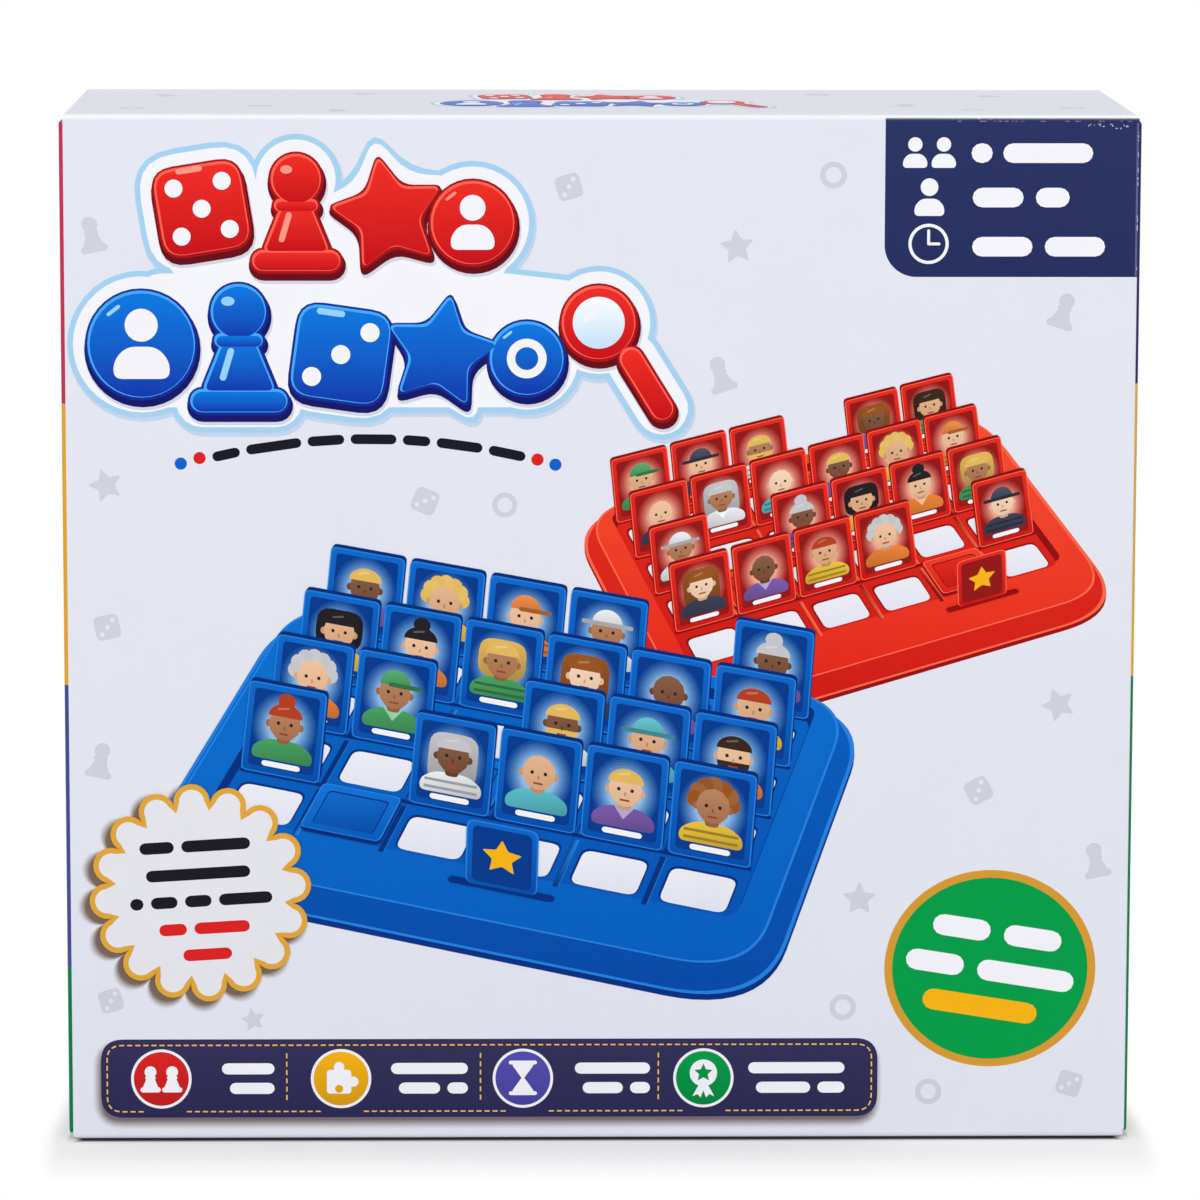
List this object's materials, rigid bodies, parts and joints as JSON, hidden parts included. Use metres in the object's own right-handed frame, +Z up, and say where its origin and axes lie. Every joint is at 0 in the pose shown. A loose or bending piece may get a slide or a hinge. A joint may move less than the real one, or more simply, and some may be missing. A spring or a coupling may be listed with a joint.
{
  "type": "face guessing game box",
  "caption": "Upright tuck-top carton of a face guessing game, with moulded boards of hinged flip frames, portrait cards, packs of cards and a leaflet inside.",
  "frame": {"origin": "on the surface that the carton stands on, under the middle of its base", "axes": "+Z up, -Y out of the printed front panel, +X to the right of someone who looks at the front"},
  "size_m": [0.27, 0.098, 0.261],
  "materials": {
    "carton_board": "printed and varnished fluted board",
    "blue_plastic": "moulded, satin gloss",
    "red_plastic": "moulded, satin gloss",
    "card_stock": "coated card",
    "leaflet_paper": "uncoated paper"
  },
  "bodies": {
    "carton": {"carton_sleeve": "carton_board", "bottom_outer_flap": "carton_board", "bottom_inner_flap": "carton_board", "bottom_dust_flaps": "carton_board", "blue_board": "blue_plastic", "red_board": "red_plastic", "chosen_cards": "card_stock", "rules_leaflet": "leaflet_paper"},
    "top_panel": {"top_panel": "carton_board"},
    "tuck_flap": {"tuck_flap": "carton_board"},
    "dust_flap_left": {"dust_flap_left": "carton_board"},
    "dust_flap_right": {"dust_flap_right": "carton_board"},
    "blue_frame_1_1": {"blue_frame_1_1": "blue_plastic"},
    "blue_frame_1_2": {"blue_frame_1_2": "blue_plastic"},
    "blue_frame_1_3": {"blue_frame_1_3": "blue_plastic"},
    "blue_frame_1_4": {"blue_frame_1_4": "blue_plastic"},
    "blue_frame_1_5": {"blue_frame_1_5": "blue_plastic"},
    "blue_frame_1_6": {"blue_frame_1_6": "blue_plastic"},
    "blue_frame_2_1": {"blue_frame_2_1": "blue_plastic"},
    "blue_frame_2_2": {"blue_frame_2_2": "blue_plastic"},
    "blue_frame_2_3": {"blue_frame_2_3": "blue_plastic"},
    "blue_frame_2_4": {"blue_frame_2_4": "blue_plastic"},
    "blue_frame_2_5": {"blue_frame_2_5": "blue_plastic"},
    "blue_frame_2_6": {"blue_frame_2_6": "blue_plastic"},
    "blue_frame_3_1": {"blue_frame_3_1": "blue_plastic"},
    "blue_frame_3_2": {"blue_frame_3_2": "blue_plastic"},
    "blue_frame_3_3": {"blue_frame_3_3": "blue_plastic"},
    "blue_frame_3_4": {"blue_frame_3_4": "blue_plastic"},
    "blue_frame_3_5": {"blue_frame_3_5": "blue_plastic"},
    "blue_frame_3_6": {"blue_frame_3_6": "blue_plastic"},
    "blue_frame_4_1": {"blue_frame_4_1": "blue_plastic"},
    "blue_frame_4_2": {"blue_frame_4_2": "blue_plastic"},
    "blue_frame_4_3": {"blue_frame_4_3": "blue_plastic"},
    "blue_frame_4_4": {"blue_frame_4_4": "blue_plastic"},
    "blue_frame_4_5": {"blue_frame_4_5": "blue_plastic"},
    "blue_frame_4_6": {"blue_frame_4_6": "blue_plastic"},
    "red_frame_1_1": {"red_frame_1_1": "red_plastic"},
    "red_frame_1_2": {"red_frame_1_2": "red_plastic"},
    "red_frame_1_3": {"red_frame_1_3": "red_plastic"},
    "red_frame_1_4": {"red_frame_1_4": "red_plastic"},
    "red_frame_1_5": {"red_frame_1_5": "red_plastic"},
    "red_frame_1_6": {"red_frame_1_6": "red_plastic"},
    "red_frame_2_1": {"red_frame_2_1": "red_plastic"},
    "red_frame_2_2": {"red_frame_2_2": "red_plastic"},
    "red_frame_2_3": {"red_frame_2_3": "red_plastic"},
    "red_frame_2_4": {"red_frame_2_4": "red_plastic"},
    "red_frame_2_5": {"red_frame_2_5": "red_plastic"},
    "red_frame_2_6": {"red_frame_2_6": "red_plastic"},
    "red_frame_3_1": {"red_frame_3_1": "red_plastic"},
    "red_frame_3_2": {"red_frame_3_2": "red_plastic"},
    "red_frame_3_3": {"red_frame_3_3": "red_plastic"},
    "red_frame_3_4": {"red_frame_3_4": "red_plastic"},
    "red_frame_3_5": {"red_frame_3_5": "red_plastic"},
    "red_frame_3_6": {"red_frame_3_6": "red_plastic"},
    "red_frame_4_1": {"red_frame_4_1": "red_plastic"},
    "red_frame_4_2": {"red_frame_4_2": "red_plastic"},
    "red_frame_4_3": {"red_frame_4_3": "red_plastic"},
    "red_frame_4_4": {"red_frame_4_4": "red_plastic"},
    "red_frame_4_5": {"red_frame_4_5": "red_plastic"},
    "red_frame_4_6": {"red_frame_4_6": "red_plastic"}
  },
  "joints": [
    {"name": "lid_fold", "type": "hinge", "parent": "carton", "child": "top_panel", "pos_m": [0, -0.04856, 0.26056], "axis": [1, 0, 0], "range_deg": [0, 150]},
    {"name": "tuck_fold", "type": "hinge", "parent": "top_panel", "child": "tuck_flap", "pos_m": [0, 0.04576, 0.26056], "axis": [1, 0, 0], "range_deg": [0, 30]},
    {"name": "dust_fold_left", "type": "hinge", "parent": "carton", "child": "dust_flap_left", "pos_m": [-0.13456, 0, 0.25931], "axis": [0, -1, 0], "range_deg": [0, 90]},
    {"name": "dust_fold_right", "type": "hinge", "parent": "carton", "child": "dust_flap_right", "pos_m": [0.13456, 0, 0.25931], "axis": [0, 1, 0], "range_deg": [0, 90]},
    {"name": "blue_flip_1_1", "type": "hinge", "parent": "carton", "child": "blue_frame_1_1", "pos_m": [0.09, -0.0285, 0.0902], "axis": [1, 0, 0], "range_deg": [0, 95]},
    {"name": "blue_flip_1_2", "type": "hinge", "parent": "carton", "child": "blue_frame_1_2", "pos_m": [0.054, -0.0285, 0.0902], "axis": [1, 0, 0], "range_deg": [0, 95]},
    {"name": "blue_flip_1_3", "type": "hinge", "parent": "carton", "child": "blue_frame_1_3", "pos_m": [0.018, -0.0285, 0.0902], "axis": [1, 0, 0], "range_deg": [0, 95]},
    {"name": "blue_flip_1_4", "type": "hinge", "parent": "carton", "child": "blue_frame_1_4", "pos_m": [-0.018, -0.0285, 0.0902], "axis": [1, 0, 0], "range_deg": [0, 95]},
    {"name": "blue_flip_1_5", "type": "hinge", "parent": "carton", "child": "blue_frame_1_5", "pos_m": [-0.054, -0.0285, 0.0902], "axis": [1, 0, 0], "range_deg": [0, 95]},
    {"name": "blue_flip_1_6", "type": "hinge", "parent": "carton", "child": "blue_frame_1_6", "pos_m": [-0.09, -0.0285, 0.0902], "axis": [1, 0, 0], "range_deg": [0, 95]},
    {"name": "blue_flip_2_1", "type": "hinge", "parent": "carton", "child": "blue_frame_2_1", "pos_m": [0.09, -0.0285, 0.1357], "axis": [1, 0, 0], "range_deg": [0, 95]},
    {"name": "blue_flip_2_2", "type": "hinge", "parent": "carton", "child": "blue_frame_2_2", "pos_m": [0.054, -0.0285, 0.1357], "axis": [1, 0, 0], "range_deg": [0, 95]},
    {"name": "blue_flip_2_3", "type": "hinge", "parent": "carton", "child": "blue_frame_2_3", "pos_m": [0.018, -0.0285, 0.1357], "axis": [1, 0, 0], "range_deg": [0, 95]},
    {"name": "blue_flip_2_4", "type": "hinge", "parent": "carton", "child": "blue_frame_2_4", "pos_m": [-0.018, -0.0285, 0.1357], "axis": [1, 0, 0], "range_deg": [0, 95]},
    {"name": "blue_flip_2_5", "type": "hinge", "parent": "carton", "child": "blue_frame_2_5", "pos_m": [-0.054, -0.0285, 0.1357], "axis": [1, 0, 0], "range_deg": [0, 95]},
    {"name": "blue_flip_2_6", "type": "hinge", "parent": "carton", "child": "blue_frame_2_6", "pos_m": [-0.09, -0.0285, 0.1357], "axis": [1, 0, 0], "range_deg": [0, 95]},
    {"name": "blue_flip_3_1", "type": "hinge", "parent": "carton", "child": "blue_frame_3_1", "pos_m": [0.09, -0.0285, 0.1812], "axis": [1, 0, 0], "range_deg": [0, 95]},
    {"name": "blue_flip_3_2", "type": "hinge", "parent": "carton", "child": "blue_frame_3_2", "pos_m": [0.054, -0.0285, 0.1812], "axis": [1, 0, 0], "range_deg": [0, 95]},
    {"name": "blue_flip_3_3", "type": "hinge", "parent": "carton", "child": "blue_frame_3_3", "pos_m": [0.018, -0.0285, 0.1812], "axis": [1, 0, 0], "range_deg": [0, 95]},
    {"name": "blue_flip_3_4", "type": "hinge", "parent": "carton", "child": "blue_frame_3_4", "pos_m": [-0.018, -0.0285, 0.1812], "axis": [1, 0, 0], "range_deg": [0, 95]},
    {"name": "blue_flip_3_5", "type": "hinge", "parent": "carton", "child": "blue_frame_3_5", "pos_m": [-0.054, -0.0285, 0.1812], "axis": [1, 0, 0], "range_deg": [0, 95]},
    {"name": "blue_flip_3_6", "type": "hinge", "parent": "carton", "child": "blue_frame_3_6", "pos_m": [-0.09, -0.0285, 0.1812], "axis": [1, 0, 0], "range_deg": [0, 95]},
    {"name": "blue_flip_4_1", "type": "hinge", "parent": "carton", "child": "blue_frame_4_1", "pos_m": [0.09, -0.0285, 0.2267], "axis": [1, 0, 0], "range_deg": [0, 95]},
    {"name": "blue_flip_4_2", "type": "hinge", "parent": "carton", "child": "blue_frame_4_2", "pos_m": [0.054, -0.0285, 0.2267], "axis": [1, 0, 0], "range_deg": [0, 95]},
    {"name": "blue_flip_4_3", "type": "hinge", "parent": "carton", "child": "blue_frame_4_3", "pos_m": [0.018, -0.0285, 0.2267], "axis": [1, 0, 0], "range_deg": [0, 95]},
    {"name": "blue_flip_4_4", "type": "hinge", "parent": "carton", "child": "blue_frame_4_4", "pos_m": [-0.018, -0.0285, 0.2267], "axis": [1, 0, 0], "range_deg": [0, 95]},
    {"name": "blue_flip_4_5", "type": "hinge", "parent": "carton", "child": "blue_frame_4_5", "pos_m": [-0.054, -0.0285, 0.2267], "axis": [1, 0, 0], "range_deg": [0, 95]},
    {"name": "blue_flip_4_6", "type": "hinge", "parent": "carton", "child": "blue_frame_4_6", "pos_m": [-0.09, -0.0285, 0.2267], "axis": [1, 0, 0], "range_deg": [0, 95]},
    {"name": "red_flip_1_1", "type": "hinge", "parent": "carton", "child": "red_frame_1_1", "pos_m": [0.09, 0.0284, 0.1544], "axis": [1, 0, 0], "range_deg": [0, 95]},
    {"name": "red_flip_1_2", "type": "hinge", "parent": "carton", "child": "red_frame_1_2", "pos_m": [0.054, 0.0284, 0.1544], "axis": [1, 0, 0], "range_deg": [0, 95]},
    {"name": "red_flip_1_3", "type": "hinge", "parent": "carton", "child": "red_frame_1_3", "pos_m": [0.018, 0.0284, 0.1544], "axis": [1, 0, 0], "range_deg": [0, 95]},
    {"name": "red_flip_1_4", "type": "hinge", "parent": "carton", "child": "red_frame_1_4", "pos_m": [-0.018, 0.0284, 0.1544], "axis": [1, 0, 0], "range_deg": [0, 95]},
    {"name": "red_flip_1_5", "type": "hinge", "parent": "carton", "child": "red_frame_1_5", "pos_m": [-0.054, 0.0284, 0.1544], "axis": [1, 0, 0], "range_deg": [0, 95]},
    {"name": "red_flip_1_6", "type": "hinge", "parent": "carton", "child": "red_frame_1_6", "pos_m": [-0.09, 0.0284, 0.1544], "axis": [1, 0, 0], "range_deg": [0, 95]},
    {"name": "red_flip_2_1", "type": "hinge", "parent": "carton", "child": "red_frame_2_1", "pos_m": [0.09, 0.0284, 0.1089], "axis": [1, 0, 0], "range_deg": [0, 95]},
    {"name": "red_flip_2_2", "type": "hinge", "parent": "carton", "child": "red_frame_2_2", "pos_m": [0.054, 0.0284, 0.1089], "axis": [1, 0, 0], "range_deg": [0, 95]},
    {"name": "red_flip_2_3", "type": "hinge", "parent": "carton", "child": "red_frame_2_3", "pos_m": [0.018, 0.0284, 0.1089], "axis": [1, 0, 0], "range_deg": [0, 95]},
    {"name": "red_flip_2_4", "type": "hinge", "parent": "carton", "child": "red_frame_2_4", "pos_m": [-0.018, 0.0284, 0.1089], "axis": [1, 0, 0], "range_deg": [0, 95]},
    {"name": "red_flip_2_5", "type": "hinge", "parent": "carton", "child": "red_frame_2_5", "pos_m": [-0.054, 0.0284, 0.1089], "axis": [1, 0, 0], "range_deg": [0, 95]},
    {"name": "red_flip_2_6", "type": "hinge", "parent": "carton", "child": "red_frame_2_6", "pos_m": [-0.09, 0.0284, 0.1089], "axis": [1, 0, 0], "range_deg": [0, 95]},
    {"name": "red_flip_3_1", "type": "hinge", "parent": "carton", "child": "red_frame_3_1", "pos_m": [0.09, 0.0284, 0.0634], "axis": [1, 0, 0], "range_deg": [0, 95]},
    {"name": "red_flip_3_2", "type": "hinge", "parent": "carton", "child": "red_frame_3_2", "pos_m": [0.054, 0.0284, 0.0634], "axis": [1, 0, 0], "range_deg": [0, 95]},
    {"name": "red_flip_3_3", "type": "hinge", "parent": "carton", "child": "red_frame_3_3", "pos_m": [0.018, 0.0284, 0.0634], "axis": [1, 0, 0], "range_deg": [0, 95]},
    {"name": "red_flip_3_4", "type": "hinge", "parent": "carton", "child": "red_frame_3_4", "pos_m": [-0.018, 0.0284, 0.0634], "axis": [1, 0, 0], "range_deg": [0, 95]},
    {"name": "red_flip_3_5", "type": "hinge", "parent": "carton", "child": "red_frame_3_5", "pos_m": [-0.054, 0.0284, 0.0634], "axis": [1, 0, 0], "range_deg": [0, 95]},
    {"name": "red_flip_3_6", "type": "hinge", "parent": "carton", "child": "red_frame_3_6", "pos_m": [-0.09, 0.0284, 0.0634], "axis": [1, 0, 0], "range_deg": [0, 95]},
    {"name": "red_flip_4_1", "type": "hinge", "parent": "carton", "child": "red_frame_4_1", "pos_m": [0.09, 0.0284, 0.0179], "axis": [1, 0, 0], "range_deg": [0, 95]},
    {"name": "red_flip_4_2", "type": "hinge", "parent": "carton", "child": "red_frame_4_2", "pos_m": [0.054, 0.0284, 0.0179], "axis": [1, 0, 0], "range_deg": [0, 95]},
    {"name": "red_flip_4_3", "type": "hinge", "parent": "carton", "child": "red_frame_4_3", "pos_m": [0.018, 0.0284, 0.0179], "axis": [1, 0, 0], "range_deg": [0, 95]},
    {"name": "red_flip_4_4", "type": "hinge", "parent": "carton", "child": "red_frame_4_4", "pos_m": [-0.018, 0.0284, 0.0179], "axis": [1, 0, 0], "range_deg": [0, 95]},
    {"name": "red_flip_4_5", "type": "hinge", "parent": "carton", "child": "red_frame_4_5", "pos_m": [-0.054, 0.0284, 0.0179], "axis": [1, 0, 0], "range_deg": [0, 95]},
    {"name": "red_flip_4_6", "type": "hinge", "parent": "carton", "child": "red_frame_4_6", "pos_m": [-0.09, 0.0284, 0.0179], "axis": [1, 0, 0], "range_deg": [0, 95]}
  ],
  "couplings": [
    {"joint": "tuck_fold", "follows": "lid_fold", "ratio": 0.2},
    {"joint": "dust_fold_left", "follows": "lid_fold", "ratio": 0.6},
    {"joint": "dust_fold_right", "follows": "lid_fold", "ratio": 0.6}
  ]
}
